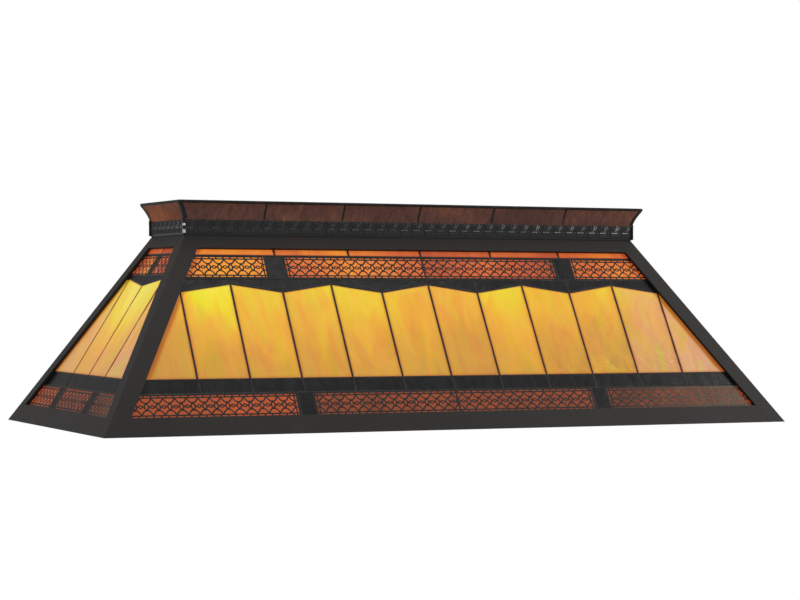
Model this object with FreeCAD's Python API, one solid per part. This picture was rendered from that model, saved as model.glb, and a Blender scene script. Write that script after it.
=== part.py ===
"""Leaded-glass pool table lamp: a long four-sided shade with a flared crown, its wiring and its bulbs.

Millimetres. The origin is the centre of the bottom rim: +X is the lamp's length, +Y its depth and +Z is up.
"""
import FreeCAD, Part
import math
import os

from FreeCAD import Placement, Rotation, Vector

# ---- driving dimensions ----

LENGTH = 1219.2            # bottom rim, 48 in
WIDTH = 558.8              # bottom rim, 22 in
SLOPE_HEIGHT = 314.0       # from the bottom rim to the top of the sloping frame
SLOPE_RUN = 195.0          # how far each side leans in over that height
SLOPE_ANGLE = math.atan2(SLOPE_HEIGHT, SLOPE_RUN)
SLOPE_LENGTH = math.hypot(SLOPE_HEIGHT, SLOPE_RUN)
LEAN = SLOPE_RUN / SLOPE_LENGTH        # how much a side narrows, at each end, per mm up the slope

# folded steel frame; depths below the face are measured square to the slope
SHEET = 1.5
BORDER = 27.0              # face width of a corner angle on each side
LIP_DEPTH = 5.6            # how deep the folded lip round the glass opening goes
RAIL_TOP = 33.5            # slope distance of the bottom rail's upper edge
FLANGE = 14.0              # width of the flat inward flanges at the bottom and the top
FLANGE_GAP = 3.0           # how far a flange stops short of the corner angles

# leaded panels
GLASS_FACE = -6.0          # outer face of the glass below the frame's face
GLASS = 3.0                # glass thickness
CAME_PROUD = 0.4           # how far the came stands over the glass, on both faces
SEAM = 3.2                 # width of a soldered seam
STAMPING = 0.3             # thickness of the filigree strips
HIDDEN_EDGE = 17.0         # distance of a panel's edge from the hip
PANEL_BOTTOM = 25.0
PANEL_TOP_COVER = 8.0      # how far a panel runs up under the top rail
PITCH = 88.0               # distance between the amber joints

# crown
BAND_REACH = 2.0           # how far the band stands out from the frame's top edge
BAND_HEIGHT = 26.4
BAND_FLARE = 0.6
CROWN_OUT = 13.7           # overhang of the crown's rim from the foot of the band
TOTAL_HEIGHT = 370.0
COVE = 1.1                 # how far the crown's hollow curve dips below its chord
CROWN_LEAD = 4.0           # half width of a crown corner lead
CROWN_PANE = 139.0         # width of a crown pane on a long side
RIM = 5.0                  # height of the rim along the crown's top
RIM_OVERHANG = 1.0         # how far the rim stands out over the crown glass
RIM_CHAMFER = 1.3

# top plate and what it carries
PLATE = 2.0
CHANNEL_DEPTH = 28.0
CHANNEL_HALF_WIDTH = 22.0
CHANNEL_HALF_LENGTH = 399.0
CHANNEL_FLANGE = 12.0
BULB_PLACES = [-381.0, -127.0, 127.0, 381.0]
LOOP_PLACES = {"left": -254.0, "right": 254.0}
SHANK_R = 4.95
BUSH_BORE_R = 5.0
LOOP_EYE_R = 9.5
LOOP_OUTER_R = 16.0
LOOP_THICKNESS = 7.0
CORD_BORE_R = 5.0
SCREW_R = 2.0

PLATE_TOP = SLOPE_HEIGHT + PLATE
CHANNEL_BOTTOM = SLOPE_HEIGHT - CHANNEL_DEPTH
BAND_TOP = SLOPE_HEIGHT + BAND_HEIGHT

# name: (turn about Z from the front, distance of the bottom edge from the centre, half its length)
SIDES = {
    "front": (0.0, WIDTH / 2, LENGTH / 2),
    "right": (90.0, LENGTH / 2, WIDTH / 2),
    "back": (180.0, WIDTH / 2, LENGTH / 2),
    "left": (-90.0, LENGTH / 2, WIDTH / 2),
}

# The rows of a panel by slope distance, its centre peak or valley, and where its rows are divided.
LONG_ROWS = {
    "lower_row_top": 77.0, "band_top": 102.5, "zig_at_centre": 280.0, "zig_between": 264.5,
    "zig_top": 289.5, "upper_row_top": 333.5, "opening_top": 345.0,
    "lower_blocks": (252.0, 279.0), "upper_blocks": (251.0, 282.0),
    "strip_joints": [0.0, 132.0, 264.0], "row_joint": True,
}
SHORT_ROWS = {
    "lower_row_top": 77.0, "band_top": 103.0, "zig_at_centre": 277.0, "zig_between": 290.0,
    "zig_top": 295.5, "upper_row_top": 336.5, "opening_top": 347.0,
    "lower_blocks": (81.0, 103.0), "upper_blocks": (0.0, 5.5),
    "strip_joints": [0.0], "row_joint": False,
}
ROWS = {"front": LONG_ROWS, "back": LONG_ROWS, "left": SHORT_ROWS, "right": SHORT_ROWS}


# ---- helpers ----

def save(name, shape):
    shape.exportStep("parts/" + name + ".step")


def box(x0, x1, y0, y1, z0, z1):
    return Part.makeBox(x1 - x0, y1 - y0, z1 - z0, Vector(x0, y0, z0))


def cylinder(radius, z0, z1, x=0.0, y=0.0):
    return Part.makeCylinder(radius, z1 - z0, Vector(x, y, z0))


def prism(points, low, high):
    """A flat outline of (a, s) points, raised from low to high."""
    corners = [Vector(a, s, low) for a, s in points]
    face = Part.Face(Part.makePolygon(corners + corners[:1]))
    return face.extrude(Vector(0, 0, high - low))


def on_slope(shape, side):
    """Put a shape drawn flat, a along the side and s up it, on that sloping side."""
    turn, reach, _ = SIDES[side]
    tilt = Placement(Vector(0, -reach, 0), Rotation(Vector(1, 0, 0), math.degrees(SLOPE_ANGLE)))
    shape.Placement = Placement(Vector(0, 0, 0), Rotation(Vector(0, 0, 1), turn)).multiply(tilt)
    return shape


def turned(shape, side):
    """Turn a shape drawn for the front side to its own side."""
    shape.rotate(Vector(0, 0, 0), Vector(0, 0, 1), SIDES[side][0])
    return shape


def clip(points, start, end, distance):
    """Keep what lies at least this far to the left of the line from start to end."""
    run = (end[0] - start[0], end[1] - start[1])
    size = math.hypot(run[0], run[1])

    def room(point):
        return (run[0] * (point[1] - start[1]) - run[1] * (point[0] - start[0])) / size - distance

    kept = []
    for here, there in zip(points, points[1:] + points[:1]):
        a, b = room(here), room(there)
        if a >= 0:
            kept.append(here)
        if (a >= 0) != (b >= 0):
            t = a / (a - b)
            kept.append((here[0] + t * (there[0] - here[0]), here[1] + t * (there[1] - here[1])))
    return kept


def area(points):
    total = 0.0
    for (x0, y0), (x1, y1) in zip(points, points[1:] + points[:1]):
        total += x0 * y1 - x1 * y0
    return total / 2


def shrink(points, distance):
    """The same convex outline, smaller by this distance along every edge."""
    kept = points
    for start, end in zip(points, points[1:] + points[:1]):
        if math.hypot(end[0] - start[0], end[1] - start[1]) > 0.01:
            kept = clip(kept, start, end, distance)
    return kept


def hip(side, s, distance):
    """Half the side's width at s, less a border of this distance measured square to the hip."""
    return SIDES[side][2] - LEAN * s - distance * math.hypot(1.0, LEAN)


def trapezium(side, s0, s1, distance):
    low, high = hip(side, s0, distance), hip(side, s1, distance)
    return [(-low, s0), (low, s0), (high, s1), (-high, s1)]


def pyramid():
    """The lamp's sloping outside as one solid: it mitres and trims the frame's sheets."""
    corners = []
    for z, inset in [(0.0, 0.0), (SLOPE_HEIGHT, SLOPE_RUN)]:
        x, y = LENGTH / 2 - inset, WIDTH / 2 - inset
        corners.append([Vector(-x, -y, z), Vector(x, -y, z), Vector(x, y, z), Vector(-x, y, z)])
    low, high = corners
    walls = [Part.Face(Part.makePolygon(low + low[:1])), Part.Face(Part.makePolygon(high + high[:1]))]
    for i in range(4):
        j = (i + 1) % 4
        walls.append(Part.Face(Part.makePolygon([low[i], low[j], high[j], high[i], low[i]])))
    return Part.makeSolid(Part.makeShell(walls))


# ---- steel frame ----

def flange(side, height, half):
    """A flat strip that runs inward from the outside at the bottom or the top of a side."""
    reach = SIDES[side][1] - height * SLOPE_RUN / SLOPE_HEIGHT
    z = 0.0 if height == 0.0 else height - SHEET
    return turned(box(-half, half, -reach, -reach + FLANGE, z, z + SHEET), side)


def rail(side, s0, s1, lip, height, outside):
    web = on_slope(prism(trapezium(side, s0, s1, BORDER), -SHEET, 0.0), side)
    lip_strip = on_slope(prism(trapezium(side, lip[0], lip[1], BORDER), -LIP_DEPTH, 0.0), side)
    half = hip(side, SLOPE_LENGTH if height else RAIL_TOP, BORDER) - FLANGE_GAP
    return web.fuse([lip_strip, flange(side, height, half)]).common(outside).removeSplitter()


def bottom_rail(side, outside):
    return rail(side, -10.0, RAIL_TOP, (RAIL_TOP - SHEET, RAIL_TOP), 0.0, outside)


def top_rail(side, outside):
    edge = ROWS[side]["opening_top"]
    folded = rail(side, edge, SLOPE_LENGTH + 10.0, (edge, edge + SHEET), SLOPE_HEIGHT, outside)
    return folded.cut(screw_holes(plate_screw_places()[0]))


def corner_strip(side, end):
    """One leaf of a corner angle, with its folded lip; end is +1 or -1 along the side."""
    s0, s1 = -10.0, SLOPE_LENGTH + 10.0

    def strip(near, far):
        points = [(end * hip(side, s0, near), s0), (end * hip(side, s1, near), s1),
                  (end * hip(side, s1, far), s1), (end * hip(side, s0, far), s0)]
        return points if end > 0 else points[::-1]

    leaf = on_slope(prism(strip(-6.0, BORDER), -SHEET, 0.0), side)
    lip = on_slope(prism(strip(BORDER - SHEET, BORDER), -LIP_DEPTH, 0.0), side)
    return leaf.fuse(lip)


def corner_angle(side, end, neighbour, neighbour_end, outside):
    leaves = corner_strip(side, end).fuse(corner_strip(neighbour, neighbour_end))
    return leaves.common(outside).removeSplitter()


# ---- leaded panels ----

def zigzag(side, a):
    """Height of the zigzag at a: it is one thing at the centre and the other a pitch away."""
    rows = ROWS[side]
    phase = abs(a) / PITCH % 2.0
    mix = phase if phase <= 1.0 else 2.0 - phase
    return rows["zig_at_centre"] + (rows["zig_between"] - rows["zig_at_centre"]) * mix


def amber_cells(side):
    rows = ROWS[side]
    last = 5 if rows is LONG_ROWS else 1
    cells = []
    for i in range(-last, last):
        a0, a1 = i * PITCH, (i + 1) * PITCH
        cells.append([(a0, rows["band_top"]), (a1, rows["band_top"]),
                      (a1, zigzag(side, a1)), (a0, zigzag(side, a0))])
    tops = [(i * PITCH, zigzag(side, i * PITCH)) for i in (last + 2, last + 1, last)]
    wedge = [(tops[2][0], rows["band_top"]), (tops[0][0], rows["band_top"])] + tops
    cells.append(wedge)
    cells.append([(-a, s) for a, s in wedge[::-1]])
    return cells


def row_spans(blocks, joints, far):
    """Split a row into its groups and the blocks between them, from one hip to the other."""
    inner, outer = blocks
    groups = [(-far, -outer), (outer, far)]
    if inner > 0:
        groups += [(-inner, 0.0), (0.0, inner)] if joints else [(-inner, inner)]
        solids = [(-outer, -inner), (inner, outer)]
    else:
        solids = [(-outer, outer)]
    return groups, solids


def rectangles(spans, s0, s1):
    return [[(a0, s0), (a1, s0), (a1, s1), (a0, s1)] for a0, a1 in spans]


def black_cells(side):
    rows = ROWS[side]
    last = 5 if rows is LONG_ROWS else 1
    far = SIDES[side][2]
    stops = [-far] + [i * PITCH for i in range(-last, last + 1)] + [far]
    cells = rectangles(list(zip(stops, stops[1:])), rows["lower_row_top"], rows["band_top"])
    for i in range(-last - 1, last + 1):
        a0, a1 = i * PITCH, (i + 1) * PITCH
        cells.append([(a0, zigzag(side, a0)), (a1, zigzag(side, a1)),
                      (a1, rows["zig_top"]), (a0, rows["zig_top"])])
    lower = row_spans(rows["lower_blocks"], rows["row_joint"], far)[1]
    upper = row_spans(rows["upper_blocks"], rows["row_joint"], far)[1]
    cells += rectangles(lower, PANEL_BOTTOM, rows["lower_row_top"])
    cells += rectangles(upper, rows["zig_top"], rows["upper_row_top"])
    return cells


def filigree_cells(side):
    """The outlines that the stamped strips and the orange glass under them share: lower, then upper."""
    rows = ROWS[side]
    far = SIDES[side][2]
    lower = row_spans(rows["lower_blocks"], rows["row_joint"], far)[0]
    upper = row_spans(rows["upper_blocks"], rows["row_joint"], far)[0]
    return (rectangles(lower, PANEL_BOTTOM, rows["lower_row_top"]),
            rectangles(upper, rows["zig_top"], rows["upper_row_top"]))


def strip_cells(side):
    rows = ROWS[side]
    joints = rows["strip_joints"]
    stops = sorted(set([-a for a in joints] + joints + [-SIDES[side][2], SIDES[side][2]]))
    top = rows["opening_top"] + PANEL_TOP_COVER
    return rectangles(list(zip(stops, stops[1:])), rows["upper_row_top"], top)


def fit_to_panel(side, cells):
    """Trim outlines to the panel and leave half a seam round each."""
    top = ROWS[side]["opening_top"] + PANEL_TOP_COVER
    outline = trapezium(side, PANEL_BOTTOM, top, HIDDEN_EDGE)
    fitted = []
    for cell in cells:
        kept = cell
        for start, end in zip(outline, outline[1:] + outline[:1]):
            kept = clip(kept, start, end, 0.0)
        kept = shrink(kept, SEAM / 2) if len(kept) > 2 else []
        if len(kept) > 2 and area(kept) > 40.0:
            fitted.append(kept)
    return fitted


def panes(side, cells, low, high):
    return [on_slope(prism(points, low, high), side) for points in cells]


def panel(side):
    """All of one side's leaded panel, by the name of each kind of piece."""
    glass_back = GLASS_FACE - GLASS
    amber = fit_to_panel(side, amber_cells(side))
    black = fit_to_panel(side, black_cells(side))
    lower, upper = [fit_to_panel(side, cells) for cells in filigree_cells(side)]
    strip = fit_to_panel(side, strip_cells(side))
    came_low, came_high = glass_back - CAME_PROUD, GLASS_FACE + CAME_PROUD
    top = ROWS[side]["opening_top"] + PANEL_TOP_COVER
    sheet = on_slope(prism(trapezium(side, PANEL_BOTTOM, top, HIDDEN_EDGE), came_low, came_high), side)
    holes = panes(side, amber + black + lower + upper + strip, came_low - 1.0, came_high + 1.0)
    return {
        "amber_glass": Part.makeCompound(panes(side, amber, glass_back, GLASS_FACE)),
        "black_glass": Part.makeCompound(panes(side, black, glass_back, GLASS_FACE)),
        "orange_glass": Part.makeCompound(panes(side, lower + upper + strip, glass_back, GLASS_FACE)),
        "lead_came": sheet.cut(holes),
        "lower_filigree": panes(side, lower, GLASS_FACE, GLASS_FACE + STAMPING),
        "upper_filigree": panes(side, upper, GLASS_FACE, GLASS_FACE + STAMPING),
    }


def glass_clips():
    """Small Z-shaped clips that hold each panel's edge behind the rails."""
    back = GLASS_FACE - GLASS - CAME_PROUD
    half = 6.0
    clips = []
    for side in SIDES:
        long_side = ROWS[side] is LONG_ROWS
        top = ROWS[side]["opening_top"] + PANEL_TOP_COVER
        for edge, away, places in [
                (PANEL_BOTTOM, -1.0, [-352.0, 0.0, 352.0] if long_side else [-140.0, 140.0]),
                (top, 1.0, [-264.0, 0.0, 264.0] if long_side else [0.0])]:
            leg = sorted([edge + away * 2.0, edge + away * 3.0])
            arm = sorted([edge - away * 10.0, edge + away * 3.0])
            foot = sorted([edge + away * 2.0, edge + away * 11.0])
            for a in places:
                pieces = [box(a - half, a + half, leg[0], leg[1], back - 1.0, -SHEET),
                          box(a - half, a + half, arm[0], arm[1], back - 1.0, back),
                          box(a - half, a + half, foot[0], foot[1], -SHEET - 1.0, -SHEET)]
                clips.append(on_slope(pieces[0].fuse(pieces[1:]).removeSplitter(), side))
    return Part.makeCompound(clips)


# ---- crown ----

def crown_reach(side):
    """Distance of the band's foot from the centre, and half its length."""
    _, reach, half = SIDES[side]
    return reach - SLOPE_RUN + BAND_REACH, half - SLOPE_RUN + BAND_REACH


def mitred(shape, side, margin):
    """Trim a shape drawn for the front side at both corners, this far from the mitres."""
    reach, half = crown_reach(side)
    depth = 40.0
    points = [(-half + depth + margin, -reach + depth), (-half - depth + margin, -reach - depth),
              (half + depth - margin, -reach - depth), (half - depth - margin, -reach + depth)]
    return shape.common(prism(points, SLOPE_HEIGHT - 10.0, TOTAL_HEIGHT + 10.0))


def along(points_or_face, a0, a1):
    """Run a cross-section, drawn in the front side's YZ plane, along that side."""
    face = points_or_face
    if isinstance(face, list):
        corners = [Vector(0, y, z) for y, z in points_or_face]
        face = Part.Face(Part.makePolygon(corners + corners[:1]))
    moved = face.copy()
    moved.translate(Vector(a0, 0, 0))
    return moved.extrude(Vector(a1 - a0, 0, 0))


def gallery_band(side):
    reach, half = crown_reach(side)
    section = [(-reach, SLOPE_HEIGHT), (-reach - BAND_FLARE, BAND_TOP),
               (-reach - BAND_FLARE + SHEET, BAND_TOP), (-reach + SHEET, SLOPE_HEIGHT)]
    strip = along(section, -half - 20.0, half + 20.0)
    return turned(mitred(strip, side, 0.0), side)


def cove_section(side, proud):
    """Cross-section of the coved crown glass, thicker by proud on both faces."""
    reach, _ = crown_reach(side)
    foot = (-reach - BAND_FLARE + CAME_PROUD, BAND_TOP)
    rim = (-reach - CROWN_OUT + RIM_OVERHANG, TOTAL_HEIGHT - RIM)
    run = (rim[0] - foot[0], rim[1] - foot[1])
    size = math.hypot(run[0], run[1])
    inward = (run[1] / size, -run[0] / size)
    inward = inward if inward[0] > 0 else (-inward[0], -inward[1])

    def shifted(point, distance):
        return Vector(0, point[0] + inward[0] * distance, point[1] + inward[1] * distance)

    middle = ((foot[0] + rim[0]) / 2, (foot[1] + rim[1]) / 2)
    out, back = -proud, GLASS + proud
    outer = Part.Arc(shifted(foot, out), shifted(middle, out + COVE), shifted(rim, out)).toShape()
    inner = Part.Arc(shifted(rim, back), shifted(middle, back + COVE), shifted(foot, back)).toShape()
    top = Part.LineSegment(shifted(rim, out), shifted(rim, back)).toShape()
    bottom = Part.LineSegment(shifted(foot, back), shifted(foot, out)).toShape()
    between = box(-1.0, 1.0, -reach - 60.0, -reach + 60.0, BAND_TOP, TOTAL_HEIGHT - RIM)
    return Part.Face(Part.Wire([outer, top, inner, bottom])).common(between).Faces[0]


def pane_spans(side):
    """The crown panes along a side, each leaving half a seam at its joints."""
    _, half = crown_reach(side)
    edges = [-half - 20.0, half + 20.0]
    if ROWS[side] is LONG_ROWS:
        joints = [i * CROWN_PANE for i in range(-2, 3)]
        edges = [edges[0]] + joints + [edges[1]]
    return [(a0 + SEAM / 2, a1 - SEAM / 2) for a0, a1 in zip(edges, edges[1:])]


def crown_panes(side, proud):
    section = cove_section(side, proud)
    return [turned(mitred(along(section, a0, a1), side, CROWN_LEAD), side) for a0, a1 in pane_spans(side)]


def crown_rim(side):
    """The rounded-off bar along the crown's top edge, on one side."""
    reach, half = crown_reach(side)
    outer = -reach - CROWN_OUT
    inner = outer + RIM_OVERHANG + GLASS + 2.5
    low, high, cut = TOTAL_HEIGHT - RIM, TOTAL_HEIGHT, RIM_CHAMFER
    section = [(outer + cut, low), (outer, low + cut), (outer, high - cut), (outer + cut, high),
               (inner - cut, high), (inner, high - cut), (inner, low + cut), (inner - cut, low)]
    return turned(mitred(along(section, -half - 20.0, half + 20.0), side, 0.0), side)


def crown_came(bands):
    """Corner leads, short seams, the rim and a solder bead down each corner of the band."""
    pieces = []
    openings = []
    for side in SIDES:
        _, half = crown_reach(side)
        section = cove_section(side, CAME_PROUD)
        pieces.append(turned(mitred(along(section, -half - 20.0, half + 20.0), side, 0.0), side))
        pieces.append(crown_rim(side))
        openings += crown_panes(side, CAME_PROUD)
    x = crown_reach("left")[0] + BAND_FLARE / 2
    y = crown_reach("front")[0] + BAND_FLARE / 2
    for sx in (-1, 1):
        for sy in (-1, 1):
            pieces.append(cylinder(2.0, SLOPE_HEIGHT + 1.0, BAND_TOP + 1.0, sx * x, sy * y))
    ring = pieces[0].fuse(pieces[1:])
    return ring.cut(openings + bands).removeSplitter()


# ---- top plate, channel and wiring ----

def plate_screw_places():
    """Screws through the plate into the rails' flanges, then into the wiring channel's."""
    y = WIDTH / 2 - SLOPE_RUN - FLANGE / 2
    x = LENGTH / 2 - SLOPE_RUN - FLANGE / 2
    rails = [(sx * a, sy * y) for a in (100.0, 300.0) for sx in (-1, 1) for sy in (-1, 1)]
    rails += [(-x, 0.0), (x, 0.0)]
    channel_y = CHANNEL_HALF_WIDTH + CHANNEL_FLANGE / 2
    channel = [(sx * a, sy * channel_y) for a in (60.0, 340.0) for sx in (-1, 1) for sy in (-1, 1)]
    return rails, channel


def screw_holes(places):
    return [cylinder(SCREW_R + 0.15, SLOPE_HEIGHT - 5.0, PLATE_TOP + 5.0, x, y) for x, y in places]


def top_plate():
    x, y = crown_reach("left")[0] - SHEET, crown_reach("front")[0] - SHEET
    plate = box(-x, x, -y, y, SLOPE_HEIGHT, PLATE_TOP)
    rails, channel = plate_screw_places()
    holes = screw_holes(rails + channel)
    holes += [cylinder(7.05, SLOPE_HEIGHT - 5.0, PLATE_TOP + 5.0, place) for place in LOOP_PLACES.values()]
    holes.append(cylinder(8.05, SLOPE_HEIGHT - 5.0, PLATE_TOP + 5.0))
    return plate.cut(holes)


def wiring_channel():
    x, y = CHANNEL_HALF_LENGTH, CHANNEL_HALF_WIDTH
    trough = box(-x, x, -y, y, CHANNEL_BOTTOM, SLOPE_HEIGHT)
    inside = box(-x + SHEET, x - SHEET, -y + SHEET, y - SHEET, CHANNEL_BOTTOM + SHEET, SLOPE_HEIGHT + 1.0)
    ledge = SLOPE_HEIGHT - SHEET
    flanges = [box(-380.0, 380.0, y - SHEET, y + CHANNEL_FLANGE, ledge, SLOPE_HEIGHT),
               box(-380.0, 380.0, -y - CHANNEL_FLANGE, -y + SHEET, ledge, SLOPE_HEIGHT)]
    necks = [cylinder(8.2, CHANNEL_BOTTOM - 1.0, CHANNEL_BOTTOM + 3.0, place) for place in BULB_PLACES]
    holes = screw_holes(plate_screw_places()[1])
    return trough.fuse(flanges).cut([inside] + necks + holes).removeSplitter()


def plate_screws():
    rails, channel = plate_screw_places()
    screws = []
    for x, y in rails + channel:
        head = cylinder(3.6, PLATE_TOP, PLATE_TOP + 2.2, x, y)
        head = head.makeFillet(1.2, [head.Edges[0]])
        screws.append(head.fuse(cylinder(SCREW_R, SLOPE_HEIGHT - 4.0, PLATE_TOP, x, y)).removeSplitter())
    return Part.makeCompound(screws)


def flanged_bush(x, bore, barrel, head, head_height, bottom):
    bush = cylinder(head, PLATE_TOP, PLATE_TOP + head_height, x)
    bush = bush.fuse(cylinder(barrel, bottom, PLATE_TOP, x)).removeSplitter()
    return bush.cut(cylinder(bore, bottom - 1.0, PLATE_TOP + head_height + 1.0, x))


def plate_bushings():
    """Two bushes that the hanging loops turn in, and the cord's inlet between them."""
    bushes = [flanged_bush(x, BUSH_BORE_R, 7.0, 11.0, 3.0, 309.0) for x in LOOP_PLACES.values()]
    bushes.append(flanged_bush(0.0, CORD_BORE_R, 8.0, 11.0, 4.0, 308.0))
    return Part.makeCompound(bushes)


def hanging_loop(x):
    """An eye on a collar and shank; the eye's axis is along Y at rest."""
    collar_z = PLATE_TOP + 3.2
    eye_z = collar_z + 3.0 + LOOP_OUTER_R - 1.0
    half = LOOP_THICKNESS / 2
    eye = Part.makeCylinder(LOOP_OUTER_R, LOOP_THICKNESS, Vector(x, -half, eye_z), Vector(0, 1, 0))
    eye = eye.makeFillet(2.4, [edge for edge in eye.Edges if edge.Closed and len(edge.Vertexes) == 1
                               and edge.Curve.TypeId == "Part::GeomCircle"])
    loop = eye.fuse([cylinder(8.5, collar_z, collar_z + 3.0, x), cylinder(SHANK_R, 300.0, collar_z, x)])
    hole = Part.makeCylinder(LOOP_EYE_R, 30.0, Vector(x, -15.0, eye_z), Vector(0, 1, 0))
    return loop.cut(hole).removeSplitter()


def loop_nut(x):
    """Hexagonal lock nut on the shank, 0.2 mm under the bush."""
    low, high = 302.8, 308.8
    corners = [(x + 7.5 * math.cos(math.radians(60.0 * i)), 7.5 * math.sin(math.radians(60.0 * i)))
               for i in range(6)]
    return prism(corners, low, high).cut(cylinder(SHANK_R + 0.03, low - 1.0, high + 1.0, x))


def wire_harness():
    """Two insulated wires along the channel, with a stub to each lampholder's neck."""
    z = CHANNEL_BOTTOM + SHEET + 2.5
    end = BULB_PLACES[-1]
    wires = []
    for y in (-14.0, 14.0):
        run = Part.makeCylinder(1.5, 2 * end, Vector(-end, y, z), Vector(1, 0, 0))
        reach = math.copysign(1.0, -y)
        stubs = [Part.makeCylinder(1.0, 5.8, Vector(x, y, z), Vector(0, reach, 0))
                 for x in [place * 0.985 for place in BULB_PLACES]]
        wires.append(run.fuse(stubs).removeSplitter())
    return Part.makeCompound(wires)


# ---- lampholders and bulbs ----

HOLDER_MOUTH = 240.0
CAP_R = 13.1
GLOBE_Z = 188.0
GLOBE_R = 30.0
NECK_R = 12.0


def revolved(edges, x):
    face = Part.Face(Part.Wire(edges))
    solid = face.revolve(Vector(0, 0, 0), Vector(0, 0, 1), 360.0)
    solid.translate(Vector(x, 0, 0))
    return solid


def outline(points):
    """Straight edges round a closed outline of (radius, z) points."""
    corners = [Vector(r, 0, z) for r, z in points]
    return [Part.LineSegment(p, q).toShape() for p, q in zip(corners, corners[1:] + corners[:1])]


def lampholder(x):
    """A stepped shell with a blind socket, open at the bottom, and a neck up into the channel."""
    points = [(CAP_R + 0.6, HOLDER_MOUTH), (18.8, HOLDER_MOUTH), (19.5, HOLDER_MOUTH + 1.5),
              (19.5, 262.0), (17.0, 265.0), (17.0, 282.0), (13.0, CHANNEL_BOTTOM), (8.0, CHANNEL_BOTTOM),
              (8.0, CHANNEL_BOTTOM + 10.0), (0.0, CHANNEL_BOTTOM + 10.0), (0.0, 268.0), (CAP_R + 0.6, 268.0)]
    return revolved(outline(points), x)


def bulb_cap(x):
    """A thin metal cup, open at the bottom, with a contact on top."""
    wall = 0.8
    points = [(CAP_R - wall, 243.0), (CAP_R, 243.0), (CAP_R, 262.0), (6.0, 265.0), (4.0, 267.0), (0.0, 267.0),
              (0.0, 263.5), (CAP_R - wall - 1.0, 261.0), (CAP_R - wall, 260.0)]
    return revolved(outline(points), x)


def bulb_profile(inset):
    """Half of the envelope's outline, from the axis at the bottom to the top of the neck."""
    radius = GLOBE_R - inset
    join = math.radians(50.0)
    bottom = Vector(0, 0, GLOBE_Z - radius)
    side = Vector(radius, 0, GLOBE_Z)
    shoulder = Vector(radius * math.cos(join), 0, GLOBE_Z + radius * math.sin(join))
    waist = Vector(14.3 - inset, 0, 223.0)
    neck = Vector(NECK_R - inset, 0, 239.0)
    top = Vector(NECK_R - inset, 0, 259.0)
    edges = [Part.Arc(bottom, side, shoulder).toShape(), Part.Arc(shoulder, waist, neck).toShape(),
             Part.LineSegment(neck, top).toShape()]
    return bottom, top, edges


def bulb_glass(x):
    outer_bottom, outer_top, outer = bulb_profile(0.0)
    inner_bottom, inner_top, inner = bulb_profile(1.0)
    ends = [Part.LineSegment(outer_top, inner_top).toShape(),
            Part.LineSegment(inner_bottom, outer_bottom).toShape()]
    return revolved(Part.__sortEdges__(outer + inner + ends), x)


# ---- build ----

def main():
    os.makedirs("parts", exist_ok=True)
    outside = pyramid()
    filigree = {"lower_filigree": [], "upper_filigree": []}
    bands = []
    for side in SIDES:
        save("bottom_rail_" + side, bottom_rail(side, outside))
        save("top_rail_" + side, top_rail(side, outside))
        for kind, shape in panel(side).items():
            if kind in filigree:
                filigree[kind] += shape
            else:
                save(kind + "_" + side, shape)
        band = gallery_band(side)
        bands.append(band)
        save("gallery_band_" + side, band)
        save("crown_glass_" + side, Part.makeCompound(crown_panes(side, 0.0)))
    for kind, strips in filigree.items():
        save(kind, Part.makeCompound(strips))
    for name, side, end, neighbour, neighbour_end in [
            ("front_left", "front", -1, "left", 1), ("front_right", "front", 1, "right", -1),
            ("back_left", "back", 1, "left", -1), ("back_right", "back", -1, "right", 1)]:
        save("corner_angle_" + name, corner_angle(side, end, neighbour, neighbour_end, outside))
    save("crown_came", crown_came(bands))
    save("glass_clips", glass_clips())
    save("top_plate", top_plate())
    save("plate_screws", plate_screws())
    save("plate_bushings", plate_bushings())
    save("wiring_channel", wiring_channel())
    save("wire_harness", wire_harness())
    save("lampholders", Part.makeCompound([lampholder(x) for x in BULB_PLACES]))
    for number, x in enumerate(BULB_PLACES, 1):
        save("bulb_glass_" + str(number), bulb_glass(x))
        save("bulb_cap_" + str(number), bulb_cap(x))
    for name, x in LOOP_PLACES.items():
        save("hanging_loop_" + name, hanging_loop(x))
        save("loop_nut_" + name, loop_nut(x))


main()
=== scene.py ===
import math
from contextlib import contextmanager

import bmesh
import bpy
import numpy as np
from mathutils import Matrix, Vector


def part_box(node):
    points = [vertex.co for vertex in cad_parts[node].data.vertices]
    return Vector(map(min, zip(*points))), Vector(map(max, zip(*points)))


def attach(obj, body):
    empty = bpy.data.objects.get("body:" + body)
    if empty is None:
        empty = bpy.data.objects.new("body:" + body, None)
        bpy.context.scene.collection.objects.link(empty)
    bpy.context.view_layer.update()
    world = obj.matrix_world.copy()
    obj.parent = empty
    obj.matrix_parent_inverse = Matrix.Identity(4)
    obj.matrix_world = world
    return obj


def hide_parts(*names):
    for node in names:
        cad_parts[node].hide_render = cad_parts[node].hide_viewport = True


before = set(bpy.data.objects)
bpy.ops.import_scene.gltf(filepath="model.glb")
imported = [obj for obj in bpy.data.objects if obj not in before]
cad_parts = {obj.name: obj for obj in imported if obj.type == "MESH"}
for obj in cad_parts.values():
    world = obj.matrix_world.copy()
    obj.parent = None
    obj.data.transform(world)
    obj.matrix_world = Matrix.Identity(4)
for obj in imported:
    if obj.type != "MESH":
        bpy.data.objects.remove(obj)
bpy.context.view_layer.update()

MM = 0.001
UP = np.array([0.0, 0.0, 1.0])
CORNERS = ((-1, -1), (1, -1), (1, 1), (-1, 1))

# ---- the lamp's own dimensions, as in the CAD ----

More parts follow.
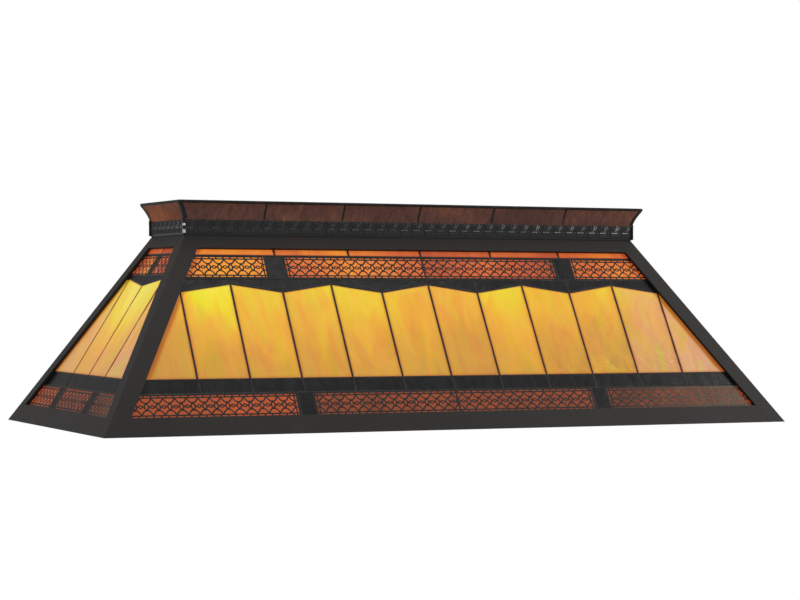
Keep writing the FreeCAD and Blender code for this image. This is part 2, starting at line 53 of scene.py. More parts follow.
REACH_FRONT = -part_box("bottom_rail_front")[0].y
REACH_LEFT = -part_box("bottom_rail_left")[0].x
SLOPE_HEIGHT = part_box("top_rail_front")[1].z
SLOPE_RUN = 195.0 * MM
GLASS_FACE = -6.0 * MM  # outer face of the panel glass, square to the slope
GLASS_BACK = -9.0 * MM
SEAM = 3.2 * MM  # gap between two panes, filled by the solder
CAME_PROUD = 0.4 * MM
BAND_FLARE = 0.6 * MM
GLOBE_RADIUS = 30.0 * MM
MID_SLOPE = 100.0 * MM  # height up the slope between the lower and the upper orange panes
BULB_NUMBERS = ("1", "2", "3", "4")
BULBS = [sum(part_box("bulb_glass_" + number), Vector()) / 2 for number in BULB_NUMBERS]
GLOBE_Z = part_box("bulb_glass_1")[0].z + GLOBE_RADIUS

# ---- tolerances ----

TOUCH = 0.1 * MM  # CAD points nearer than this are one point
WELD_CAD = 0.01 * MM
WELD_FINE = 0.002 * MM
NEAR_ROW = 2e-6  # a level line this near to an edge meets it
LEVEL_EDGE = 5e-6  # an edge that rises less is level
SAME_LINE = 0.3 * MM  # seams nearer than this are one
PARALLEL = 0.99999
TINY = 1e-6
BEYOND = 1.0  # further than any part of the lamp

# ---- looks of the panels ----

GRID = 4.0 * MM  # size of the glass mesh's squares
RIM_BAND = 1.6 * MM  # width of the first square inside a pane's edge
RIPPLE = 0.16 * MM
WAVES = ((1.0, 9.0, 26.0), (0.6, 4.5, 9.0), (0.8, 30.0, 40.0))  # share, and length in mm along and up
WAVE_LIGHT = 0.02  # how far the ripples change the light
EDGE_TINT = 2.4 * MM  # how far in from its edge a pane is darker
HIP_SHADE = 31.0 * MM  # glass nearer to a hip is shaded by the frame's lip
HIP_FADE = 6.0 * MM
HIP_RIM = 0.95  # how dark that shade is
VEIN_TOP = 185.0 * MM  # where the glass's slanted folds fade out
VEIN_FADE = 50.0 * MM
VEIN_RELIEF = 0.9  # only glass more rippled than this has folds
MEAN_GLOW = 0.33
FALLOFF = 0.02  # m2; a bulb's light is this over the distance squared
FULL_GLOW = 2.5  # the sum of it that counts as 1
# How much lighter or darker the amber panes are, from left to right; the HOT_PANE is also more translucent.
PANE_TINTS = (0.03, 0.05, 0.06, 0.02, 0.01, -0.02, -0.07, 0.01, -0.03, -0.03, -0.01, 0.0)
HOT_PANE, HOT_CONTRAST = 1, 2.1
# The same for the orange glass, at marks from -1 to 1 along a side but for PANE_END at each end.
ORANGE_MARKS = (-0.9, -0.4, 0.2, 0.8)
UPPER_TINTS = (0.20, 0.08, -0.12, 0.08)
LOWER_TINTS = (0.20, -0.05, -0.06, -0.09)
PANE_END = 150.0 * MM
AMBER_STREAK = 0.09  # how far streaks change the light
ORANGE_STREAK = 0.12
CLOUD_SHARE = 2.4  # clouds change it so much more than streaks
MEAN_STREAK = 1.7  # mean of streaks and clouds together, over the streak
BEAD_OVERLAP = 0.15 * MM  # how far the solder laps onto the glass
BEAD_STEP = 5.0 * MM
BEAD_WAVE = 11.0 * MM  # how often a bead's width wavers
BEAD_SINK = 0.02 * MM
BEAD_ARC = ((-1.0, 0.0), (-0.72, 0.62), (-0.3, 0.93), (0.3, 0.93), (0.72, 0.62), (1.0, 0.0))

# ---- looks of the filigree ----

FILIGREE_TOP = GLASS_FACE + 0.3 * MM
FILIGREE_FOOT = GLASS_FACE - 0.2 * MM
FLAT_SHARE = 0.34  # half the flat top of a strand, as a share of its width
EDGE_LINE = 19.6 * MM  # the strip's outer line, from its middle
BORDER_LINE = 15.6 * MM  # the line inside the row of dashes
# How far the middle of a strip is below the top of its glass.
STRIP_DROP = {"lower_filigree": 19.6 * MM, "upper_filigree": 20.3 * MM}
STRIP_GAP = 0.6 * MM  # from the outer line to the glass's edge at a square end
STRIP_PANE = 30.0 * MM  # orange panes less tall than this have no filigree
GROUP_GAP = 4.0 * MM  # panes nearer than this share a strip
WAIST = 3.5 * MM  # half the width of the lens between two facing lobes
LOBE_TIP = 6.4 * MM  # how near the middle the lobes come
EYE_HALF = (3.4 * MM, 2.4 * MM)  # half the width and height of the flat ring between two cells
CELL = 18.95 * MM  # length of one lobe of the filigree
DASH = 12.15 * MM  # spacing of the bars between the edge line and the border line
END_DASH = 0.86  # the same at a strip's end, as a share of it
STRAND = 2.9 * MM
EDGE_STRAND = 2.1 * MM
EYE_STRAND = 2.5 * MM
DASH_BAR = 3.3 * MM  # width of the bars that break the border into dashes
LOBE_DROP, EYE_DROP, BAR_DROP = 0.03 * MM, 0.02 * MM, 0.01 * MM  # crossing strands aren't level

# ---- looks of the band and the crown ----

MOTIF = 22.3 * MM  # length of one motif of the gallery band
DRAWN_WIDE, DRAWN_TALL = 23.2, 26.4  # length and height of the motif as drawn
TIP_SPACING = 3.867
BAND_RELIEF, BAND_BACK = 1.0 * MM, 1.5 * MM
BAND_COLUMNS, BAND_ROWS = 29, 36  # mesh squares along a motif and up the band
COVE = 1.1 * MM  # how far the crown's hollow curve dips below its chord
CROWN_FOOT = 1.6 * MM  # the crown's faces lower than this are its foot
TUCK_IN, TUCK_DOWN = 1.7 * MM, 4.5 * MM  # how far the panes go behind the band
CORNER_LEAD = (6.0 * MM, 9.0 * MM)  # width of the crown's corner lead on its long and short faces
LEAD_THICK = 0.5 * MM
RAIL_ROUND, ANGLE_ROUND = 0.35 * MM, 0.45 * MM  # radius of the folds in the steel


# ---- sides of the shade ----

class Side:
    """A sloping side's own frame: a runs along it, s up its slope and n out of it."""

    def __init__(self, name, turn, reach):
        slope = math.atan2(SLOPE_HEIGHT, SLOPE_RUN)
        angle = math.radians(turn)
        out = np.array([math.sin(angle), -math.cos(angle), 0.0])
        self.name = name
        self.out = out
        self.long = turn % 180 == 0
        self.along = np.array([math.cos(angle), math.sin(angle), 0.0])
        self.axes = np.array([self.along, UP * math.sin(slope) - out * math.cos(slope),
                              UP * math.cos(slope) + out * math.sin(slope)])
        self.foot = out * reach
        self.half = REACH_LEFT if self.long else REACH_FRONT
        self.lean = SLOPE_RUN / math.hypot(SLOPE_RUN, SLOPE_HEIGHT)

    def world(self, points):
        return self.foot + points @ self.axes

    def local(self, points):
        return (points - self.foot) @ self.axes.T

    def from_hip(self, a, s):
        """Distance of points from the nearer hip."""
        return (self.half - s * self.lean - np.abs(a)) / math.hypot(1.0, self.lean)


SIDES = [Side("front", 0.0, REACH_FRONT), Side("right", 90.0, REACH_LEFT),
         Side("back", 180.0, REACH_FRONT), Side("left", -90.0, REACH_LEFT)]


def vertices(node):
    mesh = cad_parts[node].data
    points = np.zeros(len(mesh.vertices) * 3)
    mesh.vertices.foreach_get("co", points)
    return points.reshape(-1, 3)


def span(points, axis):
    """The least and the greatest of the points' coordinates on one axis."""
    values = [point[axis] for point in points]
    return min(values), max(values)


def edges(outline):
    """The edges of a closed outline, as pairs of points."""
    return zip(outline, outline[1:] + outline[:1])


def outlines(node, side):
    """The panes of a CAD glass node, each as an anticlockwise convex outline of (a, s) points."""
    points = side.local(vertices(node))
    panes = []
    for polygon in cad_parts[node].data.polygons:
        if all(abs(points[i, 2] - GLASS_FACE) < TOUCH for i in polygon.vertices):
            corners = [tuple(points[i, :2]) for i in polygon.vertices]
            pane = {tuple(np.round(np.array(corner) / TOUCH).astype(int)): corner for corner in corners}
            for other in [other for other in panes if other.keys() & pane.keys()]:
                pane.update(other)
                panes.remove(other)
            panes.append(pane)
    found = []
    for pane in panes:
        a, s = np.mean(list(pane.values()), 0)
        found.append(sorted(pane.values(), key=lambda p: math.atan2(p[1] - s, p[0] - a)))
    return sorted(found, key=lambda outline: (span(outline, 1)[0], span(outline, 0)[0]))


# ---- meshes ----

def noise(u, v, seed):
    """Smooth random values between -1 and 1, one lattice point per unit of u and v."""
    size = 64
    table = np.random.default_rng(seed).uniform(-1.0, 1.0, (size, size))
    i, j = np.floor(u).astype(int), np.floor(v).astype(int)
    fu, fv = u - i, v - j
    fu, fv = fu * fu * (3 - 2 * fu), fv * fv * (3 - 2 * fv)
    low, high = [table[i % size, k % size] * (1 - fu) + table[(i + 1) % size, k % size] * fu
                 for k in (j, j + 1)]
    return low * (1 - fv) + high * fv


class Maker:
    """Gathers the parts of one piece, then makes its mesh."""

    def __init__(self):
        self.points, self.faces, self.uvs = [], [], []
        self.values = {}
        self.count = 0

    def add(self, points, faces, uvs=None, **values):
        self.points.append(np.asarray(points, float))
        self.faces += [[i + self.count for i in face] for face in faces]
        self.uvs.append(np.zeros((len(points), 2)) if uvs is None else np.asarray(uvs, float))
        for name, data in values.items():
            self.values.setdefault(name, []).append(np.asarray(data, float))
        self.count += len(points)

    def piece(self, name, material, slot, *replaced, sharp=40.0):
        mesh = bpy.data.meshes.new(name)
        mesh.from_pydata(np.concatenate(self.points).tolist(), [], self.faces)
        layer = mesh.uv_layers.new(name="UVMap")
        loops = np.zeros(len(mesh.loops), int)
        mesh.loops.foreach_get("vertex_index", loops)
        layer.data.foreach_set("uv", np.concatenate(self.uvs)[loops].ravel())
        for key, data in self.values.items():
            mesh.attributes.new(key, "FLOAT", "POINT").data.foreach_set("value", np.concatenate(data))
        place(name, mesh, material, slot, *replaced, sharp=sharp)


@contextmanager
def editing(mesh, weld):
    """A mesh opened for editing, its points nearer than the weld joined first."""
    edit = bmesh.new()
    edit.from_mesh(mesh)
    bmesh.ops.remove_doubles(edit, verts=edit.verts, dist=weld)
    yield edit
    edit.to_mesh(mesh)
    edit.free()


def link(name, data):
    made = bpy.data.objects.new(name, data)
    bpy.context.scene.collection.objects.link(made)
    return made


def place(name, mesh, material, slot, *replaced, sharp=40.0):
    """Smooth a mesh and hang it on the shade in place of the CAD nodes it stands for."""
    with editing(mesh, WELD_FINE) as edit:
        bmesh.ops.recalc_face_normals(edit, faces=edit.faces)
    mesh.shade_smooth()
    mesh.set_sharp_from_angle(angle=math.radians(sharp))
    mesh.materials.clear()
    mesh.materials.append(material)
    piece = link(name, mesh)
    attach(piece, "shade")
    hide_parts(*replaced)


def grid_faces(rows, columns, first=0):
    return [[k, k + 1, k + columns + 1, k + columns]
            for i in range(rows - 1) for k in range(first + i * columns, first + (i + 1) * columns - 1)]


def border(rows, columns):
    """Indices round the edge of a grid, in order."""
    grid = np.arange(rows * columns).reshape(rows, columns)
    return np.concatenate([grid[0], grid[1:, -1], grid[-1, -2::-1], grid[-2:0:-1, 0]]).tolist()


def slab_faces(rows, columns):
    """Faces of a solid with a front grid, then a back grid of the same layout."""
    size = rows * columns
    faces = grid_faces(rows, columns) + [face[::-1] for face in grid_faces(rows, columns, size)]
    for i, j in edges(border(rows, columns)):
        faces.append([i, i + size, j + size, j])
    return faces


def tube_faces(stations, count):
    """Faces of a capped tube, made of rings with count points each."""
    faces = []
    for here in range(0, (stations - 1) * count, count):
        for j in range(count):
            k = here + (j + 1) % count
            faces.append([here + j, k, k + count, here + j + count])
    return faces + [list(range(count)), list(range((stations - 1) * count, stations * count))]


def sweep(path, sections):
    """Points (a, s, n) and faces of a strip along a flat path; a section is (sideways, n) points."""
    widest = 1.6                 # the most that the strip may be widened at a bend
    path = np.asarray(path, float)
    runs = np.diff(path, axis=0)
    runs /= np.linalg.norm(runs, axis=1)[:, None]
    heading = np.concatenate([runs, runs[-1:]]) + np.concatenate([runs[:1], runs])
    size = np.linalg.norm(heading, axis=1)[:, None]
    heading /= size
    across = np.stack([-heading[:, 1], heading[:, 0]], 1) * np.minimum(2.0 / size, widest)
    sections = np.broadcast_to(sections, (len(path),) + np.shape(sections)[-2:])
    flat = path[:, None, :] + across[:, None, :] * sections[:, :, :1]
    points = np.concatenate([flat, sections[:, :, 1:]], 2).reshape(-1, 3)
    return points, tube_faces(len(path), sections.shape[1])


# ---- materials ----

def srgb(red, green, blue):
    """Linear colour of an sRGB one given as 0 to 255."""
    return tuple((c / 255 / 12.92 if c <= 10 else ((c / 255 + 0.055) / 1.055) ** 2.4)
                 for c in (red, green, blue)) + (1.0,)


class Finish:
    """A node material on one Principled shader, built up by name."""

    def __init__(self, name, gloss=0.5, **inputs):
        self.material = bpy.data.materials.new(name)
        self.material.use_nodes = True
        self.tree = self.material.node_tree
        self.shader = self.tree.nodes["Principled BSDF"]
        self.use(Specular_IOR_Level=gloss, **inputs)

    def give(self, socket, value):
        if isinstance(value, bpy.types.NodeSocket):
            self.tree.links.new(value, socket)
        else:
            socket.default_value = value

    def set(self, node, inputs):
        for key, value in inputs.items():
            self.give(node.inputs[key.replace("_", " ") if isinstance(key, str) else key], value)

    def use(self, **inputs):
        self.set(self.shader, inputs)

    def node(self, kind, inputs=None, **settings):
        made = self.tree.nodes.new("ShaderNode" + kind)
        for key, value in settings.items():
            setattr(made, key, value)
        self.set(made, inputs or {})
        return made

    def coordinates(self, kind="Object", scale=(1.0, 1.0, 1.0)):
        where = self.node("TexCoord").outputs[kind]
        return self.node("Mapping", {"Vector": where, "Scale": scale}).outputs["Vector"]

    def noise(self, where, scale, detail=3.0, distortion=0.0):
        return self.node("TexNoise", {"Vector": where, "Scale": scale, "Detail": detail,
                                      "Distortion": distortion}).outputs["Fac"]

    def attribute(self, name):
        return self.node("Attribute", attribute_name=name).outputs["Fac"]

    def times(self, a, b):
        return self.node("Math", {0: a, 1: b}, operation="MULTIPLY").outputs[0]

    def times_plus(self, a, b, c):
        return self.node("Math", {0: a, 1: b, 2: c}, operation="MULTIPLY_ADD").outputs[0]

    def spread(self, value, low, high):
        """Rescale a 0 to 1 value so that it runs from low to high."""
        return self.node("MapRange", {0: value, 3: low, 4: high}).outputs[0]

    def ramp(self, value, *stops):
        """Colours by value; a stop is its position and its sRGB colour."""
        made = self.node("ValToRGB", {"Fac": value})
        marks = made.color_ramp.elements
        for index, (position, *colour) in enumerate(stops):
            mark = marks[index] if index < 2 else marks.new(position)
            mark.position = position
            mark.color = srgb(*colour)
        return made.outputs["Color"]

    def mix(self, factor, a, b, blend="MIX"):
        made = self.node("Mix", {"Factor": factor}, data_type="RGBA", blend_type=blend)
        colours = [socket for socket in made.inputs if socket.type == "RGBA"]
        for socket, value in zip(colours, (a, b)):
            self.give(socket, value)
        return [socket for socket in made.outputs if socket.type == "RGBA"][0]

    def bump(self, height, strength, distance):
        made = self.node("Bump", {"Height": height, "Strength": strength, "Distance": distance})
        self.use(Normal=made.outputs["Normal"])


def frame_paint():
    """Satin black baked paint with orange peel, dust and warmer patches."""
    paint = Finish("frame_paint", 0.22)
    where = paint.coordinates()
    patches = paint.noise(where, 9.0, 4.0)
    specks = paint.noise(where, 420.0, 2.0)
    tone = paint.ramp(patches, (0.35, 24, 23, 23), (0.62, 30, 28, 26), (0.8, 40, 34, 28))
    dusty = paint.mix(paint.times(specks, 0.05), tone, srgb(124, 100, 80))
    paint.use(Base_Color=dusty, Roughness=paint.spread(patches, 0.42, 0.62))
    paint.bump(specks, 0.12, 0.0002)
    return paint.material


def lit_glass(name, stops, streak, pearly_with_painted_sheen, gloss):
    """Streaky art glass, coloured by how much of the lamp's light reaches it."""
    glass = Finish(name, gloss, Coat_Weight=0.7 * gloss, Coat_Roughness=0.08)
    along = glass.coordinates("UV", (1.0, 0.13, 1.0))
    around = glass.coordinates("UV", (1.0, 0.45, 1.0))
    streaks = glass.noise(along, 62.0, 5.0, 0.9)
    clouds = glass.noise(around, 16.0, 4.0, 1.6)
    slanted = glass.node("Mapping", {"Vector": glass.node("TexCoord").outputs["UV"],
                                     "Rotation": (0.0, 0.0, -0.7), "Scale": (3.4, 1.0, 1.0)},
                         vector_type="TEXTURE").outputs["Vector"]
    folds_and_highlights = glass.ramp(glass.noise(slanted, 90.0, 3.0, 1.6), (0.50, 0, 0, 0), (0.72, 255, 255, 255))
    folds_and_highlights = glass.times(folds_and_highlights, glass.attribute("vein"))
    light = glass.times_plus(streaks, streak, glass.attribute("glow"))
    light = glass.times_plus(clouds, streak * CLOUD_SHARE, light)
    # The folds also brighten the glass along their lines: a painted highlight, besides their bump.
    light = glass.times_plus(folds_and_highlights, 0.15, light)
    colour = glass.ramp(light, *stops)
    # Pearly glass: a random pearly tint multiplied in, then a painted sheen of pink and green, mixed in by
    # the pearl value.
    if pearly_with_painted_sheen:
        hues = glass.noise(glass.coordinates("UV", (1.0, 0.3, 1.0)), 21.0, 4.0, 1.6)
        hue = glass.ramp(hues, (0.36, 255, 236, 252), (0.50, 255, 252, 244), (0.66, 246, 255, 234))
        colour = glass.mix(1.0, colour, hue, "MULTIPLY")
        drift = glass.times_plus(glass.attribute("vein"), 0.13, glass.noise(around, 9.0, 2.0, 2.0))
        sheen = glass.ramp(drift, (0.34, 220, 176, 92), (0.46, 230, 176, 120),
                           (0.56, 224, 164, 134), (0.68, 206, 194, 104))
        colour = glass.mix(glass.attribute("pearl"), colour, sheen)
    # Darker red towards a pane's edge, and painted shade near a hip, both from the rim value.
    colour = glass.mix(glass.times(glass.attribute("rim"), 0.7), colour, srgb(164, 62, 24))
    glass.use(Base_Color=glass.mix(0.75, colour, srgb(0, 0, 0)), Emission_Color=colour,
              Emission_Strength=0.79, Roughness=glass.spread(clouds, 0.10, 0.26))
    grain = glass.noise(along, 95.0, 4.0, 1.2)
    glass.bump(glass.times_plus(folds_and_highlights, 2.5, grain), 0.35, 0.0009)
    return glass.material


# Colours of the lit glass by how much light reaches it, from the least.
AMBER_STOPS = [(0.10, 168, 108, 44), (0.20, 198, 141, 56), (0.28, 208, 155, 58), (0.36, 221, 161, 55),
               (0.44, 235, 175, 53), (0.52, 238, 188, 49), (0.60, 241, 202, 43), (0.70, 242, 224, 28),
               (1.0, 250, 240, 70)]
ORANGE_STOPS = [(0.08, 108, 60, 44), (0.20, 148, 73, 45), (0.35, 168, 80, 45), (0.50, 192, 88, 52),
                (0.60, 215, 106, 53), (0.70, 236, 134, 50), (0.85, 248, 170, 46)]


def crown_glass(name, shine, gloss, *stops):
    """Dark wispy brown glass with paler streaks; shine is how much light comes through."""
    glass = Finish(name, gloss)
    streaks = glass.noise(glass.coordinates("Object", (1.0, 1.0, 0.12)), 120.0, 5.0, 0.8)
    clouds = glass.noise(glass.coordinates(), 9.0, 3.0)
    tone = glass.ramp(glass.times_plus(clouds, 0.7, glass.times(streaks, 0.6)), *stops)
    glass.use(Base_Color=tone, Roughness=glass.spread(streaks, 0.18, 0.36), Emission_Color=tone,
              Emission_Strength=shine)
    glass.bump(streaks, 0.3, 0.0006)
    return glass.material


def filigree_metal():
    """Blackened stamped metal with brighter rubs, and a painted reflection, a lighter grey, low on the
    right.
    """
    metal = Finish("filigree_metal", 0.45, Metallic=0.35)
    where = metal.coordinates()
    patches = metal.noise(where, 60.0, 4.0)
    grain = metal.noise(where, 540.0, 2.0)
    tone = metal.ramp(patches, (0.36, 15, 14, 13), (0.62, 25, 23, 21), (0.82, 46, 43, 39))
    # Painted reflection: the lower strands turn a lighter grey towards the right end.
    tone = metal.mix(metal.times(metal.attribute("bloom"), 0.6), tone, srgb(104, 100, 80))
    metal.use(Base_Color=tone, Roughness=metal.spread(grain, 0.4, 0.65))
    metal.bump(grain, 0.25, 0.0002)
    return metal.material


def band_metal():
    """Blackened brass, pale on its crests: partly rubbed wear, partly painted glints."""
    metal = Finish("band_metal", 0.4)
    where = metal.coordinates()
    patches = metal.noise(where, 45.0, 4.0)
    # The crests' pale colour is partly rubbed wear and partly painted glints; the near-white stops are the
    # glints.
    worn = metal.times_plus(patches, 0.33, metal.times(metal.attribute("crest"), 0.67))
    stops = ((0.40, 50, 50, 51), (0.62, 66, 66, 67), (0.73, 132, 130, 128), (0.86, 215, 212, 210))
    metal.use(Base_Color=metal.ramp(worn, *stops), Metallic=metal.spread(patches, 0.5, 0.9),
              Roughness=metal.spread(patches, 0.38, 0.22))
    metal.bump(metal.noise(where, 700.0, 2.0), 0.2, 0.0002)
    return metal.material


def bare_metal(name, base, worn, roughness, scale, metallic=1.0):
    """Plated or bare metal with tarnish and fine scratches."""
    metal = Finish(name, Metallic=metallic)
    tarnish = metal.noise(metal.coordinates(), scale, 5.0, 0.4)
    scratches = metal.noise(metal.coordinates("Object", (1.0, 1.0, 14.0)), 300.0, 2.0)
    metal.use(Base_Color=metal.ramp(tarnish, (0.35, *worn), (0.68, *base)),
              Roughness=metal.spread(tarnish, roughness[1], roughness[0]))
    metal.bump(scratches, 0.12, 0.0001)
    return metal.material


def mottled(name, patches, stops, roughness, grain, bump, *kind, **inputs):
    """Patches of colour and roughness over a fine grain."""
    finish = Finish(name, **inputs)
    where = finish.coordinates(*kind)
    clouds = finish.noise(where, *patches)
    finish.use(Base_Color=finish.ramp(clouds, *stops), Roughness=finish.spread(clouds, *roughness))
    finish.bump(finish.noise(where, *grain), *bump)
    return finish.material


def black_glass(name, gloss):
    """Near-black rippled glass."""
    return mottled(name, (60.0, 6.0, 0.8), ((0.3, 17, 18, 19), (0.7, 29, 29, 29)), (0.16, 0.34),
                   (420.0, 3.0, 0.5), (0.25, 0.0004), "UV", (1.0, 0.3, 1.0), gloss=gloss,
                   Coat_Weight=0.36 * gloss, Coat_Roughness=0.06)


def moulded(name, low, high, roughness, scale):
    """Plastic or enamel with faint mottling."""
    stops = ((0.3, *low), (0.7, *high))
    return mottled(name, (scale, 4.0), stops, roughness, (scale * 8.0, 2.0), (0.15, 0.0002))


def bulb_envelope():
    """Frosted bulb, lit: whitest at its foot and warmer towards the neck."""
    foot, neck = 0.158, 0.262
    glass = Finish("bulb_envelope", 0.4)
    height = glass.node("SeparateXYZ", {"Vector": glass.coordinates()}).outputs["Z"]
    place_up = glass.node("MapRange", {0: height, 1: foot, 2: neck}).outputs[0]
    tone = glass.ramp(place_up, (0.1, 255, 240, 214), (0.45, 255, 232, 190), (0.8, 250, 205, 140))
    frost = glass.noise(glass.coordinates(), 300.0, 2.0)
    glass.use(Base_Color=tone, Emission_Color=tone, Emission_Strength=1.6,
              Roughness=glass.spread(frost, 0.35, 0.5))
    glass.bump(frost, 0.1, 0.0001)
    return glass.material


PAINT = frame_paint()
# The short sides' glass has less gloss, and their crown glass more shine, than those of the long sides.
PANES = {long: {"amber_glass": lit_glass("amber_glass" + end, AMBER_STOPS, AMBER_STREAK, True, amber),
                "black_glass": black_glass("black_glass" + end, black),
                "orange_glass": lit_glass("orange_glass" + end, ORANGE_STOPS, ORANGE_STREAK, False, orange)}
         for long, end, amber, black, orange in ((True, "", 0.16, 0.22, 0.16),
                                                 (False, "_end", 0.04, 0.03, 0.02))}
CROWN = crown_glass("crown_glass", 0.35, 0.2, (0.50, 62, 36, 30), (0.68, 80, 48, 40),
                    (0.84, 98, 60, 45), (0.97, 138, 94, 66))
CROWN_END = crown_glass("crown_glass_end", 1.2, 0.02, (0.50, 58, 30, 18), (0.68, 80, 42, 24),
                        (0.84, 98, 54, 28), (0.97, 128, 76, 36))
# Blackened solder: dull grey-black with rubbed, slightly coppery high spots.
SOLDER = mottled("patinated_solder", (85.0, 4.0),
                 ((0.34, 24, 21, 19), (0.58, 34, 32, 30), (0.82, 66, 62, 56)),
                 (0.34, 0.62), (520.0, 3.0), (0.3, 0.0003), gloss=0.3, Metallic=0.35)
FILIGREE = filigree_metal()
BAND = band_metal()
# Near-white solder: a painted glint, given to the band's front-left corner only.
PAINTED_GLINT_SOLDER = bare_metal("solder_painted_glint", (250, 240, 244), (206, 192, 198), (0.2, 0.4), 160.0, 0.3)


def dress(material, *nodes):
    """Give CAD nodes that stay a better material."""
    for node in nodes:
        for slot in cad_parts[node].material_slots:
            slot.material = material


# ---- leaded panels ----

def glow(points):
    """How much light the bulbs throw on each point, from 0 to about 1."""
    total = np.zeros(len(points))
    for bulb in BULBS:
        away = points - np.array([bulb.x, bulb.y, GLOBE_Z])
        total += FALLOFF / np.sum(away * away, 1)
    return total / FULL_GLOW


def row_ends(outline, s):
    """Where a level line at s enters and leaves a convex outline."""
    met = []
    for (a0, s0), (a1, s1) in edges(outline):
        if min(s0, s1) - NEAR_ROW <= s <= max(s0, s1) + NEAR_ROW:
            met += [a0, a1] if abs(s1 - s0) < LEVEL_EDGE else [a0 + (a1 - a0) * (s - s0) / (s1 - s0)]
    return min(met), max(met)


def edge_distance(outline, points):
    """How far each (a, s) point is inside a convex outline."""
    nearest = np.full(len(points), BEYOND)
    for start, end in edges(outline):
        run = np.subtract(end, start)
        offset = points - np.array(start)
        nearest = np.minimum(nearest, (run[0] * offset[:, 1] - run[1] * offset[:, 0]) / np.linalg.norm(run))
    return nearest


def steps(low, high):
    """Positions from low to high: a narrow step at each end and even ones between."""
    if high - low < 3 * RIM_BAND:
        return np.linspace(low, high, 3)
    count = max(2, int(math.ceil((high - low) / GRID)))
    return np.concatenate([[low], np.linspace(low + RIM_BAND, high - RIM_BAND, count), [high]])


def add_pane(maker, side, outline, seed, relief, tint, contrast, pearl):
    """One pane as a slab with a rippled face, and the values its material reads."""
    heights = sorted(set(round(s, 6) for _, s in outline))
    rows = [heights[0]]
    for low, high in zip(heights, heights[1:]):
        if high - low > 3 * TOUCH:
            rows += list(steps(low, high)[1:])
    low, high = span(outline, 0)
    across = steps(0.0, high - low) / (high - low)
    flat = []
    for s in rows:
        left, right = row_ends(outline, s)
        flat += [(left + (right - left) * t, s) for t in across]
    flat = np.array(flat)
    a, s = flat[:, 0], flat[:, 1]
    waves = sum(share * noise(a / (wide * MM), s / (tall * MM), seed + number)
                for number, (share, wide, tall) in enumerate(WAVES))
    front = np.column_stack([flat, GLASS_FACE + RIPPLE * relief * waves])
    back = np.column_stack([flat, np.full(len(flat), GLASS_BACK)])
    points = side.world(np.concatenate([front, back]))
    rim = 1.0 - np.clip(edge_distance(outline, flat) / EDGE_TINT, 0.0, 1.0)
    # Painted shade: near a hip the glass is darkened where the frame's lip would shade it.
    open_air = np.clip((side.from_hip(a, s) - HIP_SHADE) / HIP_FADE, 0.0, 1.0)
    rim = np.maximum(rim, HIP_RIM * (1.0 - open_air))
    light = glow(points) - MEAN_GLOW
    light = MEAN_GLOW + np.where(light > 0, contrast, 1.0) * light + tint
    light += np.tile(WAVE_LIGHT * relief * waves, 2)
    vein = np.clip((VEIN_TOP - s) / VEIN_FADE, 0.0, 1.0) * np.clip(relief - VEIN_RELIEF, 0.0, 1.0)
    shift = 0.37 * seed % 5.0  # so that no two panes have the same streaks
    # The painted sheen is taken away where the frame's lip shades the glass near a hip.
    maker.add(points, slab_faces(len(rows), len(across)), np.tile(flat + shift, (2, 1)), glow=light,
              rim=np.tile(rim, 2), pearl=np.tile(pearl * open_air, 2), vein=np.tile(vein, 2))


def seams(cells):
    """The joints between neighbouring outlines, each line once, as (start, end) pairs."""
    lines = []
    for outline in cells:
        for start, end in edges(outline):
            run = np.subtract(end, start)
            size = np.linalg.norm(run)
            if size < 2 * MM:
                continue
            heading = run / size
            start, end = [np.array(p) + SEAM / 2 * np.array([heading[1], -heading[0]]) for p in (start, end)]
            if heading[0] < -TINY or (abs(heading[0]) < TINY and heading[1] < 0):
                heading, start, end = -heading, end, start
            level = heading[0] * start[1] - heading[1] * start[0]
            low, high = heading @ start - SEAM / 2, heading @ end + SEAM / 2
            for other, place_across, spans in lines:
                if abs(place_across - level) < SAME_LINE and other @ heading > PARALLEL:
                    spans.append((low, high))
                    break
            else:
                lines.append((heading, level, [(low, high)]))
    found = []
    for heading, level, spans in lines:
        joined = []
        for low, high in sorted(spans):
            if joined and low < joined[-1][1] + 1 * MM:
                joined[-1][1] = max(joined[-1][1], high)
            else:
                joined.append([low, high])
        foot = level * np.array([-heading[1], heading[0]])
        found += [(foot + low * heading, foot + high * heading) for low, high in joined]
    return found


def add_bead(maker, side, start, end, seed):
    """A run of solder over one joint, with a wavering width and crest on both faces."""
    length = np.linalg.norm(end - start)
    count = max(2, int(length / BEAD_STEP) + 1)
    t = np.linspace(0.0, 1.0, count)
    path = start + (end - start) * t[:, None]
    travel = t * length / BEAD_WAVE + seed * 3.7
    waver = noise(travel, np.zeros(count), 900 + seed % 7)
    lumps = noise(travel * 1.9, np.full(count, 5.0), 950 + seed % 5)
    half = SEAM / 2 + BEAD_OVERLAP * (1.0 + 0.5 * waver)
    crest = CAME_PROUD * (0.85 + 0.15 * lumps)
    front = [np.stack([half * x, GLASS_FACE - BEAD_SINK + crest * y], 1) for x, y in BEAD_ARC]
    back = [np.stack([half * x, GLASS_BACK + BEAD_SINK - crest * y], 1) for x, y in BEAD_ARC[::-1]]
    points, faces = sweep(path, np.stack(front + back, 1))
    maker.add(side.world(points), faces)


